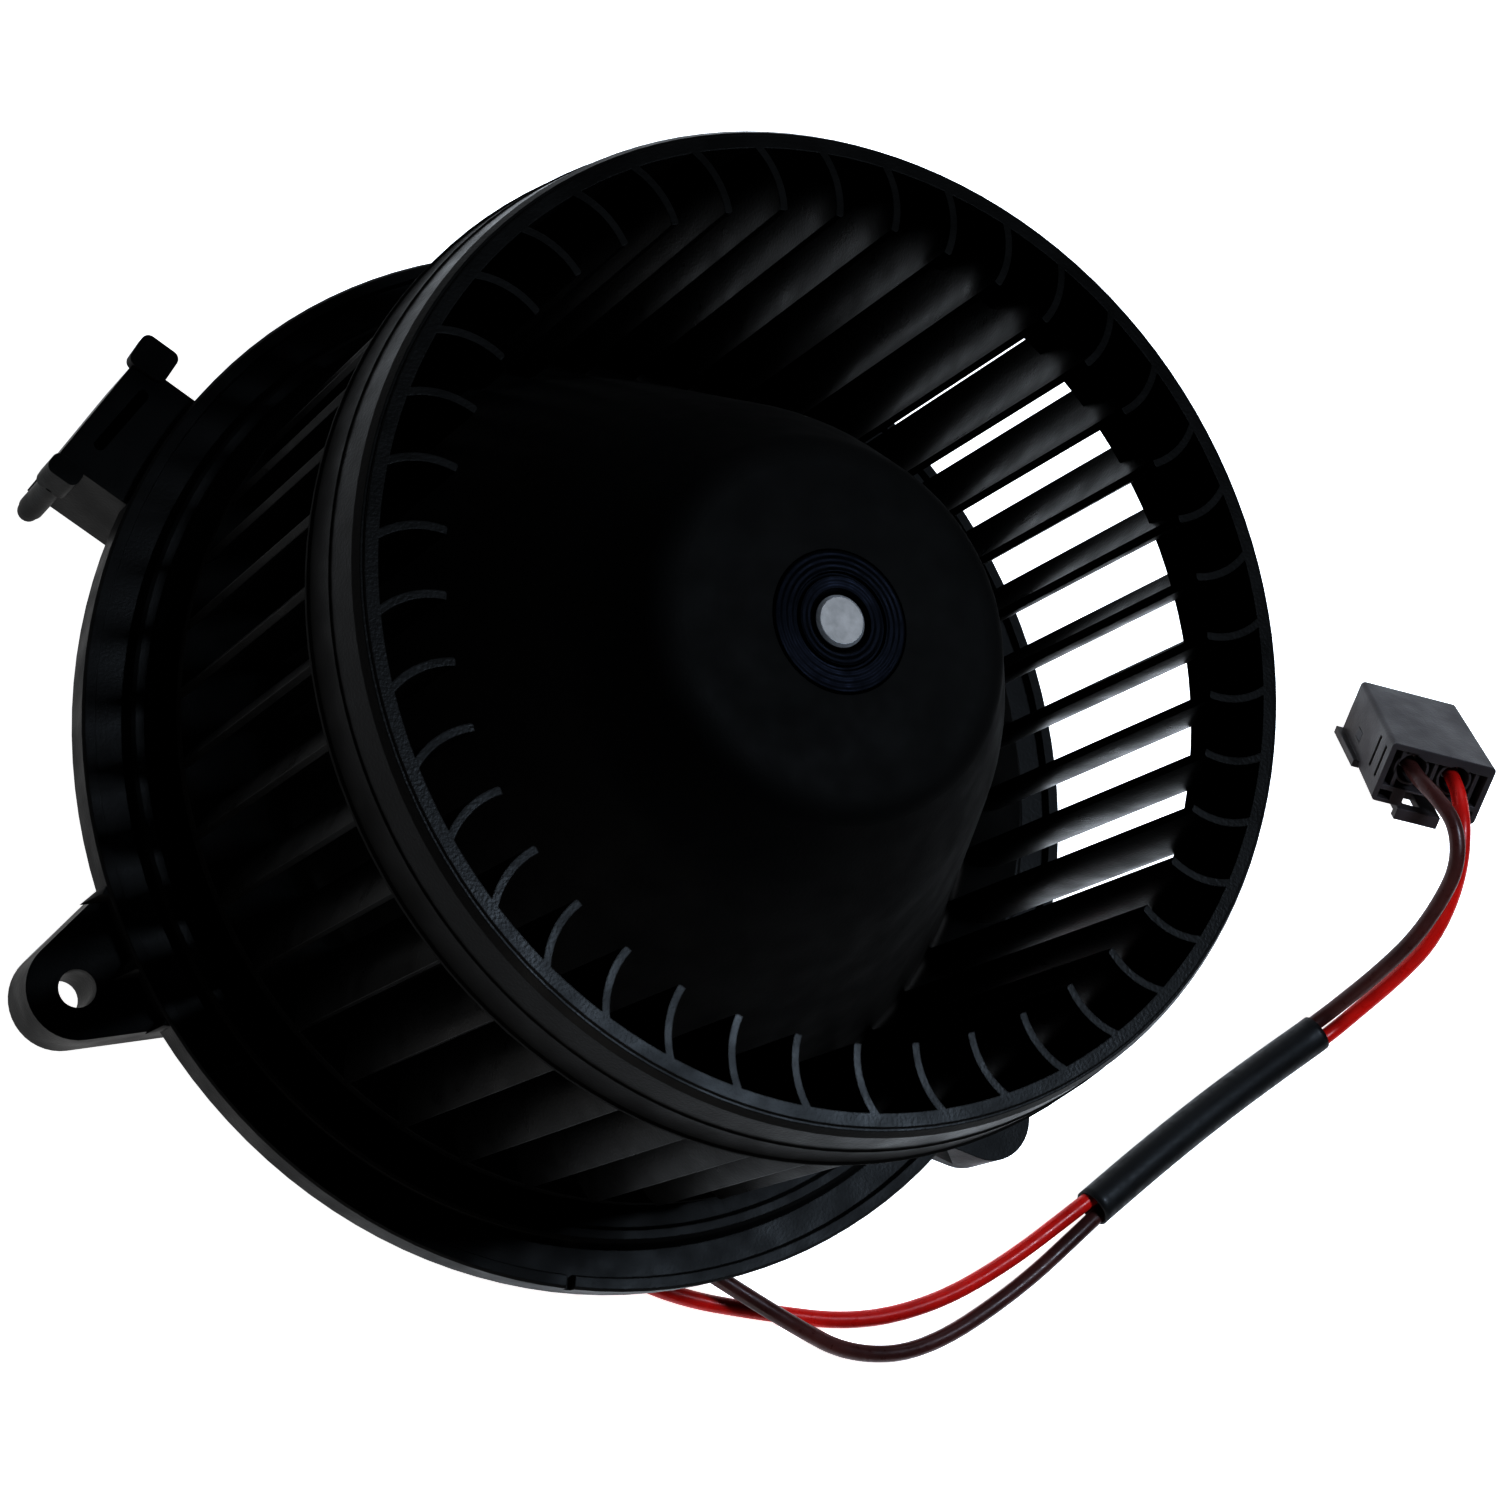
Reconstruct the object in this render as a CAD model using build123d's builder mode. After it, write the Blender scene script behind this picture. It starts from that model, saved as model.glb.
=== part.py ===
from build123d import *

import math
import os

# Heater blower: a forward-curved fan wheel on the shaft of a small brushed motor,
# held in a round mounting flange, with two leads running to a two-way connector.
# Millimetres. Origin at the centre of the motor cover's flat rear face, +Z along
# the shaft towards the wheel's open intake.

# ---- driving dimensions -------------------------------------------------------
FRONT_Z = 121.0  # wheel's front face above the rear face of the cover

WHEEL_R = 77.5  # lip of the front ring
RING_INNER_R = 72.0
RING_DEPTH = 20.0
LIP_DEPTH = 14.2
BLADE_COUNT = 42
BLADE_PHASE = -3.1  # degrees
BLADE_TIP_R = 62.2
BLADE_OUTER_R = 75.2
BLADE_T = 1.2
BLADE_ARC_R = 12.7
BLADE_ARC_CENTRE = (64.3, 12.2)
BASE_DISC_Z = 40.5
BASE_DISC_T = 2.5
DOME_T = 2.0
HUB_R = 11.0
HUB_BUSH_R = 7.0
HUB_FLANGE_T = 1.2

SHAFT_R = 4.0
SHAFT_REAR_Z = 12.5
SHAFT_CHAMFER = 0.5
RUNNING_GAP = 0.03
PRESS_GAP = 0.02
FIT_GAP = 0.1

FLANGE_R = 88.3
FLANGE_RIM_INNER_R = 86.2
FLANGE_PLATE_R = 80.0
FLANGE_PLATE_Z = 35.0
FLANGE_PLATE_T = 2.5
FLANGE_RIM_TOP_Z = 34.5
FLANGE_RIM_UNDER_Z = 31.0
FLANGE_SKIRT_Z = 28.5
FLANGE_SKIRT_T = 2.0
GROOVE_TOP_Z = 32.8
CUP_INNER_R = 35.8
CUP_WALL = 2.0
CUP_TOP_Z = 78.0
UNDER_RIB_COUNT = 24
UNDER_RIB_DEPTH = 4.0
UNDER_RIB_T = 1.6
RIM_NOTCH_ANGLE = -93.0

EAR_TOP_Z = 31.5
EAR_BOTTOM_Z = 21.0
EAR_END_R = 8.0
EAR_HOLE_R = 3.0
EAR_ROOT_R = 84.0
EAR_TAPERS = (-20.0, 16.0)  # degrees, one for each side
EAR_WALL = 2.0
EAR_TOP_T = 2.4
GUSSETS = [(-2.5, 2.6, 1.0, 4.1), (-13.0, -10.2, -11.6, 3.4), (8.9, 11.6, 10.6, 2.6)]
EARS = [(97.6, -151.7), (92.2, -36.0), (95.0, 87.0)]  # hole radius, angle

BRACKET_ANGLE = 151.0
BRACKET_OUTER = 99.7
BRACKET_SIDES = (-9.9, 12.0)
BRACKET_TOP_Z = 32.5
BRACKET_BOTTOM_Z = 14.3
BRACKET_WALL = 2.4
LOBE_TOP_Z = 33.5
UPPER_LOBE = (93.5, 100.3, -14.4, -8.4, 31.2)  # x from and to, y from and to, underside
LOWER_LOBE = (95.6, 101.2, 11.6, 15.3, 26.4)
PIN_AT = (98.4, 13.3)
PIN_ROOT_R = 2.1
PIN_SHOULDER_Z = 12.6
PIN_R = 1.8
PIN_TIP_Z = 9.6
PIN_TIP_ROUND = 1.0

COVER_R = 42.0
COVER_WALL = 2.0
COVER_TOP_Z = 32.4
COVER_TAB_R = 48.5
COVER_TAB_ANGLES = (30.0, 150.0, 270.0 + 45.0)
COVER_VENTS = 8
SCREW_R = 1.9
SCREW_HEAD_R = 4.0

CAN_R = 33.0
CAN_WALL = 1.5
CAN_BOTTOM_Z = 22.0
CAN_TOP_Z = 88.0
BEARING_R = 7.0
BEARING_BOSS_R = 9.0
MAGNET_INNER_R = 24.0
MAGNET_Z = (35.0, 75.0)
CORE_R = 23.2
CORE_Z = (40.0, 70.0)
CORE_SLOTS = 12
COMMUTATOR_R = 12.0
COMMUTATOR_Z = (26.2, 36.4)
COMMUTATOR_BARS = 12

LEAD_D = 3.0
SLEEVE_D = 7.3
SLEEVE_BORE_D = 6.5

CONNECTOR_CENTRE = (180.6, 26.64, 17.41)
CONNECTOR_WIDTH = 21.4
CONNECTOR_HEIGHT = 12.4
CONNECTOR_LENGTH = 28.8
CONNECTOR_TOWARD_LEADS = (-0.279, -0.656, 0.701)
CONNECTOR_ACROSS = (0.960, -0.180, 0.213)
CAVITY_PITCH = 8.8
CAVITY_SHIFT = -0.8
CAVITY_R = 2.9
CAVITY_DEPTH = 9.0
CAVITY_LIFT = 1.7

# ---- lead routes: tube centre points, from the grommet to the connector ----------
RED_ROUTE = [
    (-2.2, -46.0, 13.0), (-2.2, -56.0, 13.0), (2.0, -67.5, 8.6), (12.5, -78.6, 3.2),
    (28.0, -84.6, 1.6), (46.0, -86.6, 1.6), (64.0, -87.6, 1.6), (80.0, -83.6, 1.6),
    (95.0, -75.6, 1.9), (109.7, -64.7, 3.65), (124.3, -54.0, 4.87), (139.5, -44.4, 5.37),
    (153.5, -36.4, 4.87), (165.8, -29.0, 3.65), (170.8, -23.7, 8.4), (174.5, -18.8, 14.9),
    (178.0, -13.2, 21.1), (179.3, -6.4, 26.6), (178.0, 0.0, 32.4), (177.5, 6.4, 34.4),
    (177.8, 11.3, 33.8), (179.55, 16.72, 30.54), (181.39, 21.05, 25.92),
]
DARK_ROUTE = [
    (2.2, -46.0, 13.0), (2.2, -56.0, 13.0), (9.5, -66.0, 9.8), (21.5, -74.6, 7.0),
    (35.5, -82.0, 6.6), (49.0, -88.8, 6.4), (62.5, -93.4, 2.6), (78.0, -92.0, 1.6),
    (97.0, -80.4, 1.9), (111.7, -67.5, 3.65), (125.7, -56.0, 2.43), (139.5, -44.4, 1.93),
    (152.1, -34.4, 2.43), (163.8, -26.2, 3.65), (167.6, -21.6, 10.5), (170.4, -17.3, 17.4),
    (172.9, -12.7, 23.8), (174.8, -6.7, 29.7), (175.3, -0.6, 35.1), (174.4, 6.9, 36.5),
    (172.0, 12.8, 33.9), (170.99, 18.04, 28.94), (172.94, 22.64, 24.04),
]
SLEEVE_ROUTE = [
    (110.7, -66.1, 3.65), (125.0, -55.0, 3.65), (139.5, -44.4, 3.65), (152.8, -35.4, 3.65),
    (164.8, -27.6, 3.65),
]

connector_plane = Plane(
    origin=CONNECTOR_CENTRE, x_dir=CONNECTOR_ACROSS, z_dir=CONNECTOR_TOWARD_LEADS
)
os.makedirs("parts", exist_ok=True)


def save(builder, name):
    """Label the finished piece and write it as one STEP file."""
    builder.part.label = name
    export_step(builder.part, f"parts/{name}.step")


def turned(points):
    """Revolve a closed (radius, height) outline about the shaft axis."""
    with BuildPart() as body:
        with BuildSketch(Plane.XZ):
            with BuildLine():
                Polyline(*points, close=True)
            make_face()
        revolve(axis=Axis.Z)
    return body.part


def ring(inner_r, outer_r, z_low, z_high):
    """A plain ring about the shaft axis."""
    return turned([(inner_r, z_low), (outer_r, z_low), (outer_r, z_high), (inner_r, z_high)])


def corner_radii(points):
    """The largest even bend for each inner corner: 0.45 of its shorter run over tan(half turn)."""
    radii = []
    for before, corner, after in zip(points, points[1:], points[2:]):
        run_in = Vector(*corner) - Vector(*before)
        run_out = Vector(*after) - Vector(*corner)
        half_turn = math.radians(run_in.get_angle(run_out) / 2)
        radii.append(0.45 * min(run_in.length, run_out.length) / math.tan(half_turn))
    return radii


def tube(points, diameter, bore=0.0):
    """A tube of straight runs joined by tangent arcs."""
    radii = corner_radii(points)
    with BuildPart() as body:
        with BuildLine() as path:
            FilletPolyline(*points, radius=radii)
        with BuildSketch(Plane(origin=path.line @ 0, z_dir=path.line % 0)):
            Circle(diameter / 2)
            if bore:
                Circle(bore / 2, mode=Mode.SUBTRACT)
        sweep()
    section = math.pi * (diameter**2 - bore**2) / 4
    length = sum(edge.length for edge in path.edges())
    print("tube length", round(length, 1), "bend radii", [round(r, 1) for r in radii])
    print("volume over section x length", round(body.part.volume / (section * length), 4))
    return body.part


# ---- fan wheel ------------------------------------------------------------------
blade_base_z = BASE_DISC_Z + BASE_DISC_T - 0.5
with BuildSketch() as blade_section:
    with BuildLine():
        cx, cy = BLADE_ARC_CENTRE
        start = math.degrees(math.atan2(-BLADE_ARC_R, BLADE_TIP_R - cx))
        sweep_angle = 67.0
        back = CenterArc((cx, cy), BLADE_ARC_R + BLADE_T / 2, start, sweep_angle)
        front = CenterArc((cx, cy), BLADE_ARC_R - BLADE_T / 2, start, sweep_angle)
        Line(back @ 0, front @ 0)
        Line(back @ 1, front @ 1)
    make_face()
    fillet(blade_section.vertices().group_by(Axis.X)[0], radius=BLADE_T * 0.4)

with BuildPart() as fan_wheel:
    with BuildSketch(Plane.XY.offset(blade_base_z)):
        with PolarLocations(0, BLADE_COUNT, start_angle=BLADE_PHASE):
            add(blade_section.sketch)
    extrude(amount=FRONT_Z - blade_base_z)
    # Blades stop inside the front ring's skirt.
    add(ring(RING_INNER_R + 1.4, WHEEL_R + 6, FRONT_Z - LIP_DEPTH, FRONT_Z + 1), mode=Mode.SUBTRACT)
    # Front ring: flat front face, rounded shoulder, flaring side wall with a step and a thin lip.
    with BuildSketch(Plane.XZ) as ring_section:
        with BuildLine():
            Polyline(
                (RING_INNER_R, FRONT_Z),
                (RING_INNER_R + 2.0, FRONT_Z),
                (RING_INNER_R + 2.15, FRONT_Z - 0.3),
                (RING_INNER_R + 2.55, FRONT_Z - 0.3),
                (RING_INNER_R + 3.3, FRONT_Z - 1.6),
                (RING_INNER_R + 4.2, FRONT_Z - 7.2),
                (RING_INNER_R + 4.5, FRONT_Z - 7.4),
                (RING_INNER_R + 5.1, FRONT_Z - 13.2),
                (WHEEL_R, FRONT_Z - 13.5),
                (WHEEL_R, FRONT_Z - LIP_DEPTH),
                (WHEEL_R - 1.6, FRONT_Z - LIP_DEPTH),
                (RING_INNER_R + 2.9, FRONT_Z - 7.4),
                (RING_INNER_R + 1.6, FRONT_Z - 2.4),
                (RING_INNER_R + 1.6, FRONT_Z - RING_DEPTH),
                (RING_INNER_R, FRONT_Z - RING_DEPTH),
                close=True,
            )
        make_face()
    revolve(axis=Axis.Z)
    # Dome over the motor, from the hub disc down to the base disc.
    with BuildSketch(Plane.XZ) as dome_section:
        with BuildLine():
            outer = FilletPolyline(
                (HUB_R, FRONT_Z - 2.6), (28.0, FRONT_Z - 3.6), (41.0, FRONT_Z - 25.0),
                (62.2, FRONT_Z - 74.5), (BLADE_OUTER_R, BASE_DISC_Z + BASE_DISC_T),
                radius=(6.0, 60.0, 5.0),
            )
            edge = Line((BLADE_OUTER_R, BASE_DISC_Z + BASE_DISC_T), (BLADE_OUTER_R, BASE_DISC_Z))
            inner = FilletPolyline(
                (BLADE_OUTER_R, BASE_DISC_Z), (60.6, BASE_DISC_Z + 1.2), (39.2, FRONT_Z - 25.6),
                (26.9, FRONT_Z - 5.6), (HUB_R, FRONT_Z - 4.8),
                radius=(6.0, 58.0, 4.0),
            )
            Line(inner @ 1, outer @ 0)
        make_face()
    revolve(axis=Axis.Z)
    # Hub boss with a raised collar around the bush, and stiffening ribs under the dome.
    add(ring(HUB_BUSH_R, HUB_R, FRONT_Z - 24, FRONT_Z - 2.6))
    # Seat for the bush's flange.
    add(ring(0, HUB_R, FRONT_Z - 2.6 - HUB_FLANGE_T, FRONT_Z), mode=Mode.SUBTRACT)
    with BuildSketch(Plane.XZ):
        with BuildLine():
            Polyline(
                (HUB_R - 1, FRONT_Z - 22), (HUB_R - 1, FRONT_Z - 4), (27.0, FRONT_Z - 4.6),
                (34.6, FRONT_Z - 18.5), (30.0, FRONT_Z - 18.5), (20.0, FRONT_Z - 10.0),
                close=True,
            )
        make_face()
    rib_blank = extrude(amount=0.8, both=True, mode=Mode.PRIVATE)
    with PolarLocations(0, 6, start_angle=30):
        add(rib_blank)
save(fan_wheel, "fan_wheel")

with BuildPart() as hub_bush:
    add(turned([
        (SHAFT_R + PRESS_GAP, FRONT_Z - 25.0), (HUB_BUSH_R, FRONT_Z - 25.0),
        (HUB_BUSH_R, FRONT_Z - 2.6 - HUB_FLANGE_T), (HUB_R, FRONT_Z - 2.6 - HUB_FLANGE_T),
        (HUB_R, FRONT_Z - 2.8), (HUB_R - 0.4, FRONT_Z - 2.4), (HUB_BUSH_R + 0.5, FRONT_Z - 2.2),
        (HUB_BUSH_R + 0.3, FRONT_Z - 2.7), (HUB_BUSH_R - 0.1, FRONT_Z - 2.7),
        (HUB_BUSH_R - 0.3, FRONT_Z - 2.1), (SHAFT_R + 1.0, FRONT_Z - 2.3),
        (SHAFT_R + PRESS_GAP, FRONT_Z - 3.2),
    ]))
save(hub_bush, "hub_bush")

# ---- rotor ----------------------------------------------------------------------
with BuildPart() as motor_shaft:
    with BuildSketch(Plane.XY.offset(SHAFT_REAR_Z)):
        Circle(SHAFT_R)
    extrude(amount=FRONT_Z - 2.0 - SHAFT_REAR_Z)
    chamfer(motor_shaft.edges().filter_by(GeomType.CIRCLE), length=SHAFT_CHAMFER)
save(motor_shaft, "motor_shaft")

core_length = CORE_Z[1] - CORE_Z[0]
with BuildPart() as armature_core:
    with BuildSketch(Plane.XY.offset(CORE_Z[0])):
        Circle(CORE_R)
        Circle(SHAFT_R + PRESS_GAP, mode=Mode.SUBTRACT)
        with PolarLocations(15.4, CORE_SLOTS):
            SlotCenterToCenter(7.6, 4.6, mode=Mode.SUBTRACT)
        with PolarLocations(CORE_R, CORE_SLOTS):
            Rectangle(5.0, 2.0, mode=Mode.SUBTRACT)
    extrude(amount=core_length)
save(armature_core, "armature_core")

with BuildPart() as armature_windings:
    with BuildSketch(Plane.XY.offset(CORE_Z[0] - 0.3)):
        with PolarLocations(15.4, CORE_SLOTS):
            SlotCenterToCenter(7.2, 4.2)
    extrude(amount=core_length + 0.6)
    for low, high in ((CORE_Z[1] + 0.3, CORE_Z[1] + 7.5), (CORE_Z[0] - 2.6, CORE_Z[0] - 0.3)):
        add(ring(8.0, 20.6, low, high))
    fillet(armature_windings.edges().group_by(Axis.Z)[-1], radius=2.2)
save(armature_windings, "armature_windings")

with BuildPart() as commutator:
    with BuildSketch(Plane.XY.offset(COMMUTATOR_Z[0])):
        Circle(COMMUTATOR_R)
        Circle(SHAFT_R + PRESS_GAP, mode=Mode.SUBTRACT)
        with PolarLocations(COMMUTATOR_R, COMMUTATOR_BARS):
            Rectangle(1.6, 0.5, mode=Mode.SUBTRACT)
    extrude(amount=COMMUTATOR_Z[1] - COMMUTATOR_Z[0])
    with BuildSketch(Plane.XY.offset(COMMUTATOR_Z[1] - 2.4)):
        with PolarLocations(COMMUTATOR_R + 0.5, COMMUTATOR_BARS, start_angle=15):
            Rectangle(2.0, 2.0)
    extrude(amount=1.6)
save(commutator, "commutator")

with BuildPart() as thrust_washers:
    add(ring(SHAFT_R + RUNNING_GAP, 6.4, 83.4, 84.0))
    add(ring(SHAFT_R + RUNNING_GAP, 6.4, 24.6, 25.2))
save(thrust_washers, "thrust_washers")

# ---- motor stator -----------------------------------------------------------------
with BuildPart() as motor_can:
    add(turned([
        (CAN_R - CAN_WALL, CAN_BOTTOM_Z), (CAN_R, CAN_BOTTOM_Z), (CAN_R, CAN_TOP_Z - 2.5),
        (CAN_R - 2.5, CAN_TOP_Z), (BEARING_BOSS_R + 1.0, CAN_TOP_Z),
        (BEARING_BOSS_R, CAN_TOP_Z + 1.0), (BEARING_BOSS_R, 94.0), (8.2, 95.0),
        (5.4, 95.0), (5.4, 93.6), (BEARING_R + 0.05, 93.6),
        (BEARING_R + 0.05, CAN_TOP_Z - CAN_WALL), (CAN_R - 3.0, CAN_TOP_Z - CAN_WALL),
        (CAN_R - CAN_WALL, CAN_TOP_Z - 3.0),
    ]))
    with BuildSketch(Plane.XY.offset(CAN_TOP_Z - 4)):
        with PolarLocations(21, 4, start_angle=45):
            SlotCenterToCenter(6, 4)
    extrude(amount=6, mode=Mode.SUBTRACT)
save(motor_can, "motor_can")

with BuildPart() as field_magnets:
    add(ring(MAGNET_INNER_R, CAN_R - CAN_WALL - FIT_GAP, MAGNET_Z[0], MAGNET_Z[1]))
    with BuildSketch(Plane.XY.offset(MAGNET_Z[0])):
        for side in (1, -1):
            Polygon((0, 0), (22, 60 * side), (-22, 60 * side), align=None)
    extrude(amount=MAGNET_Z[1] - MAGNET_Z[0], mode=Mode.SUBTRACT)
save(field_magnets, "field_magnets")

with BuildPart() as front_bearing:
    add(ring(SHAFT_R + RUNNING_GAP, BEARING_R, 84.8, 93.4))
    chamfer(front_bearing.edges().group_by(Axis.Z)[0], length=0.4)
save(front_bearing, "front_bearing")

with BuildPart() as rear_bearing:
    add(ring(SHAFT_R + RUNNING_GAP, BEARING_R, 15.2, 23.8))
    chamfer(rear_bearing.edges().group_by(Axis.Z)[-1], length=0.4)
save(rear_bearing, "rear_bearing")

with BuildPart() as bearing_retainer:
    with BuildSketch(Plane.XY.offset(85.6)):
        Circle(15.0)
        Circle(BEARING_R + 0.1, mode=Mode.SUBTRACT)
        with PolarLocations(10.5, 8):
            Rectangle(4.0, 1.2, mode=Mode.SUBTRACT)
    extrude(amount=0.7)
save(bearing_retainer, "bearing_retainer")

with BuildPart() as end_cap:
    add(turned([
        (BEARING_R + 0.05, 14.4), (BEARING_R + 0.05, 21.8), (CAN_R, 21.8), (CAN_R, 20.3),
        (BEARING_BOSS_R + 0.8, 20.3), (BEARING_BOSS_R, 19.6), (BEARING_BOSS_R, 11.4),
        (8.2, 10.6), (0, 10.6), (0, 12.0), (BEARING_R + 0.05, 12.0),
    ]))
save(end_cap, "end_cap")

with BuildPart() as brush_plate:
    with BuildSketch(Plane.XY.offset(22.0)):
        Circle(CAN_R - CAN_WALL - FIT_GAP)
        Circle(13.5, mode=Mode.SUBTRACT)
    extrude(amount=2.4)
save(brush_plate, "brush_plate")

BRUSH_Z = (26.4, 32.0)
BRUSH_W = 6.0
with BuildPart() as brush_holders:
    for side in (1, -1):
        with BuildSketch(Plane.XY.offset(24.5)):
            with Locations((side * 22.3, 0)):
                Rectangle(16.4, BRUSH_W + 2.4)
        extrude(amount=BRUSH_Z[1] - 24.5 + 1.2)
        with BuildSketch(Plane.XY.offset(BRUSH_Z[0] - 0.1)):
            with Locations((side * 21.7, 0)):
                Rectangle(16.0, BRUSH_W + 0.2)
        extrude(amount=BRUSH_Z[1] - BRUSH_Z[0] + 0.2, mode=Mode.SUBTRACT)
save(brush_holders, "brush_holders")

with BuildPart() as carbon_brushes:
    for side in (1, -1):
        with BuildSketch(Plane.XY.offset(BRUSH_Z[0])):
            with Locations((side * 17.6, 0)):
                Rectangle(11.0, BRUSH_W)
        extrude(amount=BRUSH_Z[1] - BRUSH_Z[0])
    add(ring(0.0, COMMUTATOR_R + 0.05, BRUSH_Z[0] - 1, BRUSH_Z[1] + 1), mode=Mode.SUBTRACT)
save(carbon_brushes, "carbon_brushes")

SPRING_R = 2.0
SPRING_WIRE_D = 0.7
SPRING_PITCH = 1.04
SPRING_X = (23.8, 29.0)


with BuildPart() as coil_spring:
    with BuildLine() as coil_line:
        Helix(pitch=SPRING_PITCH, height=SPRING_X[1] - SPRING_X[0], radius=SPRING_R)
    with BuildSketch(Plane(origin=coil_line.line @ 0, z_dir=coil_line.line % 0)):
        Circle(SPRING_WIRE_D / 2)
    sweep()

spring_seat = Pos(SPRING_X[0], 0, (BRUSH_Z[0] + BRUSH_Z[1]) / 2) * Rot(Y=90)
with BuildPart() as brush_springs:
    for angle in (0, 180):
        add(Rot(Z=angle) * spring_seat * coil_spring.part)
save(brush_springs, "brush_springs")

with BuildPart() as terminal_board:
    with BuildSketch(Plane.XY.offset(16.4)):
        Circle(31.0)
        Circle(BEARING_BOSS_R + 0.6, mode=Mode.SUBTRACT)
        with Locations((0, 30)):
            Rectangle(64, 26, mode=Mode.SUBTRACT)
    extrude(amount=1.8)
    with BuildSketch(Plane.XY.offset(18.2)):
        with PolarLocations(26, 3, start_angle=-150, angular_range=120, endpoint=True):
            Circle(2.4)
    extrude(amount=2.0)
save(terminal_board, "terminal_board")

with BuildPart() as suppression_chokes:
    for side in (1, -1):
        choke_plane = Plane(origin=(side * 17.0, -24.5, 12.4), z_dir=(0, 1, 0))
        with BuildSketch(choke_plane):
            Circle(2.2)
        extrude(amount=15)
        for turn in range(8):
            with BuildSketch(choke_plane.offset(1.6 + 1.5 * turn)):
                Circle(3.4)
            extrude(amount=1.2)
save(suppression_chokes, "suppression_chokes")

with BuildPart() as suppression_capacitor:
    with BuildSketch(Plane.XY.offset(10.2)):
        with Locations((0, -19.5)):
            RectangleRounded(11.0, 5.0, 1.2)
    extrude(amount=6.0)
save(suppression_capacitor, "suppression_capacitor")

# ---- mounting flange ----------------------------------------------------------------
cup_outer_r = CUP_INNER_R + CUP_WALL
plate_under_z = FLANGE_PLATE_Z - FLANGE_PLATE_T
ear_height = EAR_TOP_Z - EAR_BOTTOM_Z


def ear_outline(hole_r, inner_x, end_r):
    """The plan of an ear: a round end with two straight sides that widen towards the rim."""
    corners = []
    for taper in EAR_TAPERS:
        lean = math.radians(taper)
        side_x = hole_r + end_r * math.sin(abs(lean))
        side_y = math.copysign(end_r * math.cos(lean), taper)
        root_y = side_y + (side_x - inner_x) * math.tan(lean)
        corners.append([(inner_x, root_y), (side_x, side_y)])
    Polygon(*corners[0], *reversed(corners[1]), align=None)
    with Locations((hole_r, 0)):
        Circle(end_r)


def ear(hole_r):
    """One screw ear along +X: a tapered, round-ended shell with a full-depth screw boss."""
    with BuildPart() as body:
        with BuildSketch(Plane.XY.offset(EAR_BOTTOM_Z)):
            ear_outline(hole_r, EAR_ROOT_R, EAR_END_R)
        extrude(amount=ear_height)
        # Hollow from below, around the boss.
        with BuildSketch(Plane.XY.offset(EAR_BOTTOM_Z)):
            ear_outline(hole_r, FLANGE_R + 0.6, EAR_END_R - EAR_WALL)
            with Locations((hole_r, 0)):
                Circle(EAR_HOLE_R + 2.2, mode=Mode.SUBTRACT)
        extrude(amount=ear_height - EAR_TOP_T, mode=Mode.SUBTRACT)
        with BuildSketch(Plane.XY.offset(EAR_BOTTOM_Z)):
            with Locations((hole_r, 0)):
                Circle(EAR_HOLE_R)
        extrude(amount=ear_height, mode=Mode.SUBTRACT)
        # Three pointed gussets between the rim and the top of the ear.
        root_x = FLANGE_R - 1.5
        for low_y, high_y, point_y, reach in GUSSETS:
            if abs(point_y) < EAR_HOLE_R:
                reach = min(reach, hole_r - EAR_HOLE_R - FLANGE_R - 0.4)
            for z, point_x in (
                (EAR_TOP_Z - 0.2, FLANGE_R + reach), (FLANGE_RIM_TOP_Z - 0.6, FLANGE_R + 0.2)
            ):
                with BuildSketch(Plane.XY.offset(z)):
                    Polygon((root_x, low_y), (point_x, point_y), (root_x, high_y), align=None)
            loft()
    return body.part


def bracket():
    """The locating bracket along +X: a deep hollow block with a slot, two pads and a pin."""
    low, high = BRACKET_SIDES
    depth = BRACKET_TOP_Z - BRACKET_BOTTOM_Z
    with BuildPart() as body:
        with BuildSketch(Plane.XY.offset(BRACKET_BOTTOM_Z)):
            Polygon(
                (EAR_ROOT_R, low), (BRACKET_OUTER - 0.7, low), (BRACKET_OUTER + 0.9, high),
                (EAR_ROOT_R, high), align=None,
            )
        extrude(amount=depth)
        # Hollow from below, between the four walls.
        with BuildSketch(Plane.XY.offset(BRACKET_BOTTOM_Z)):
            Polygon(
                (FLANGE_R, low + BRACKET_WALL), (92.4, low + BRACKET_WALL),
                (92.4, high - BRACKET_WALL), (FLANGE_R, high - BRACKET_WALL), align=None,
            )
        extrude(amount=depth - BRACKET_WALL, mode=Mode.SUBTRACT)
        for x_low, x_high, y_low, y_high, under_z in (UPPER_LOBE, LOWER_LOBE):
            with BuildSketch(Plane.XY.offset(under_z)):
                with Locations(((x_low + x_high) / 2, (y_low + y_high) / 2)):
                    RectangleRounded(x_high - x_low, y_high - y_low, 1.4)
            extrude(amount=LOBE_TOP_Z - under_z)
        # Slot that takes the edge of the housing's clip.
        with BuildSketch(Plane.XY.offset(BRACKET_TOP_Z)):
            with Locations((95.6, 0.5)):
                SlotCenterToCenter(11.6, 1.8, rotation=84)
        extrude(amount=-6.0, mode=Mode.SUBTRACT)
        with BuildSketch(Plane.XY.offset(PIN_SHOULDER_Z)):
            with Locations(PIN_AT):
                Circle(PIN_ROOT_R)
        extrude(amount=LOWER_LOBE[4] - PIN_SHOULDER_Z + 0.5)
        # Free end of the pin, below its root.
        with BuildSketch(Plane.XY.offset(PIN_TIP_Z)):
            with Locations(PIN_AT):
                Circle(PIN_R)
        extrude(amount=PIN_SHOULDER_Z - PIN_TIP_Z)
        fillet(body.edges().group_by(Axis.Z)[0], radius=PIN_TIP_ROUND)
    return body.part


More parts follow.
